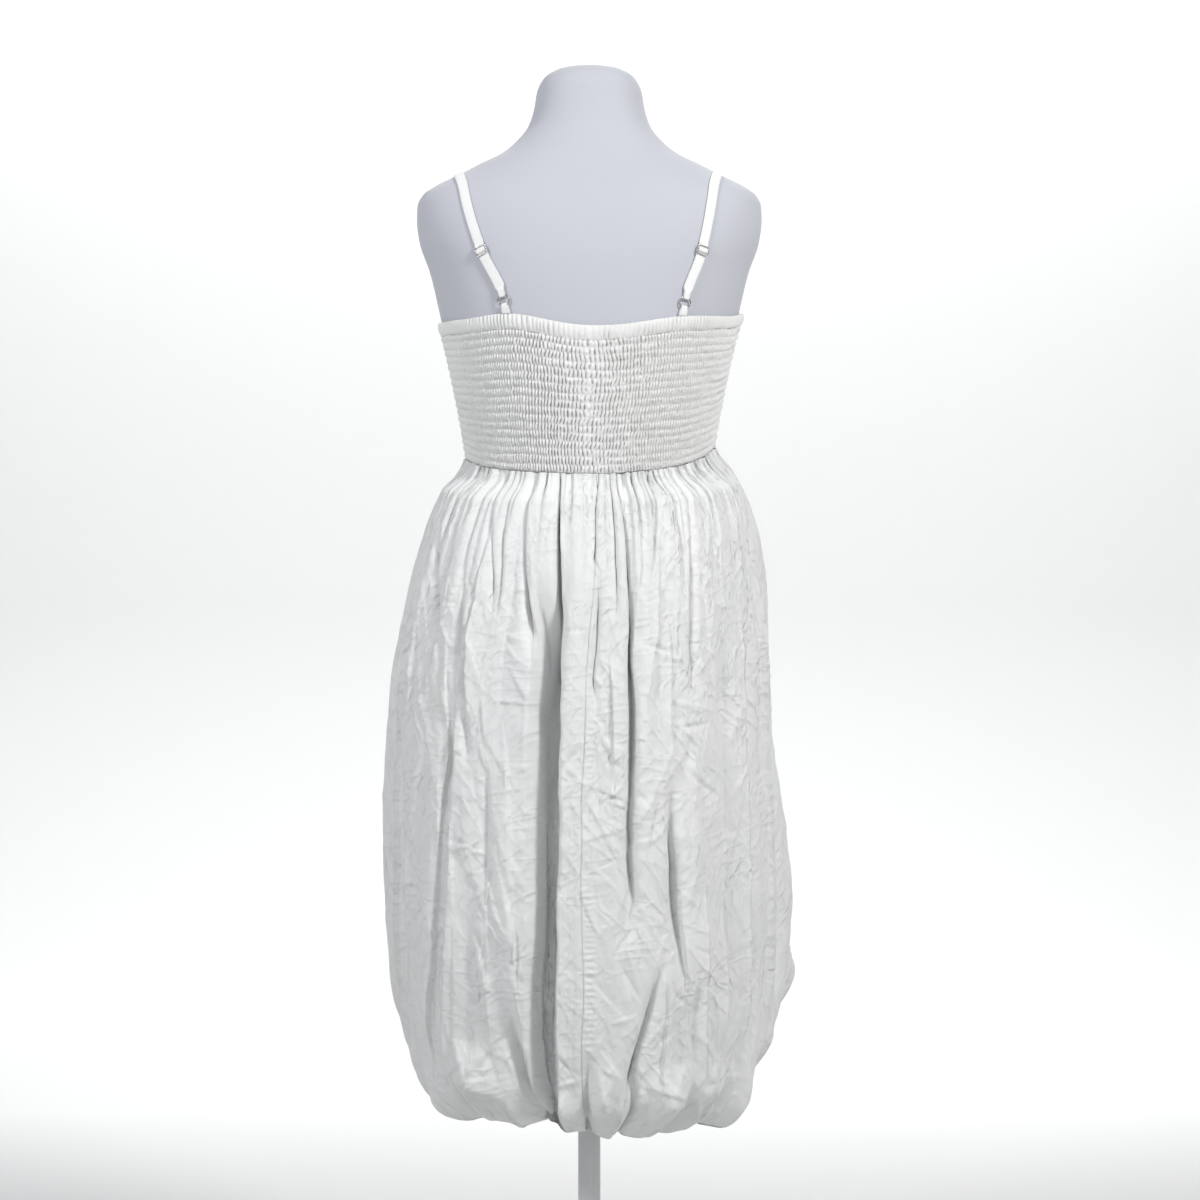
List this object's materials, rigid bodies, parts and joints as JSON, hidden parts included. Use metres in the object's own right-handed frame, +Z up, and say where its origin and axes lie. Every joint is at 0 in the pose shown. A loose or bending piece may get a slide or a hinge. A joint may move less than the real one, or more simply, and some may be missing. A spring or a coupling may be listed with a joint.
{
  "type": "sundress on a dress form",
  "caption": "A worn sleeveless sundress with a shirred back, thin adjustable straps and a bubble hem, standing on a limbless dress form with a round base",
  "frame": {"origin": "on the floor, under the middle of the stand", "axes": "+Z up, -Y towards the back of the dress, -X towards the wearer's left"},
  "size_m": [0.4552, 0.3833, 1.52],
  "materials": {
    "cotton": "matt woven cotton",
    "elastic": "matt woven elastic",
    "strap_cotton": "smooth woven cotton",
    "steel": "polished wire",
    "form_jersey": "matt jersey cover",
    "stand_lacquer": "satin lacquer"
  },
  "bodies": {
    "root": {"bodice_back": "cotton", "bodice_front": "cotton", "skirt_back_left": "cotton", "skirt_back_right": "cotton", "skirt_front": "cotton", "hem_band": "elastic", "strap_left": "strap_cotton", "strap_right": "strap_cotton", "tab_left": "strap_cotton", "tab_right": "strap_cotton", "ring_left": "steel", "ring_right": "steel", "slider_left": "steel", "slider_right": "steel", "form_torso": "form_jersey", "form_pole": "stand_lacquer", "form_base": "stand_lacquer"}
  },
  "joints": []
}
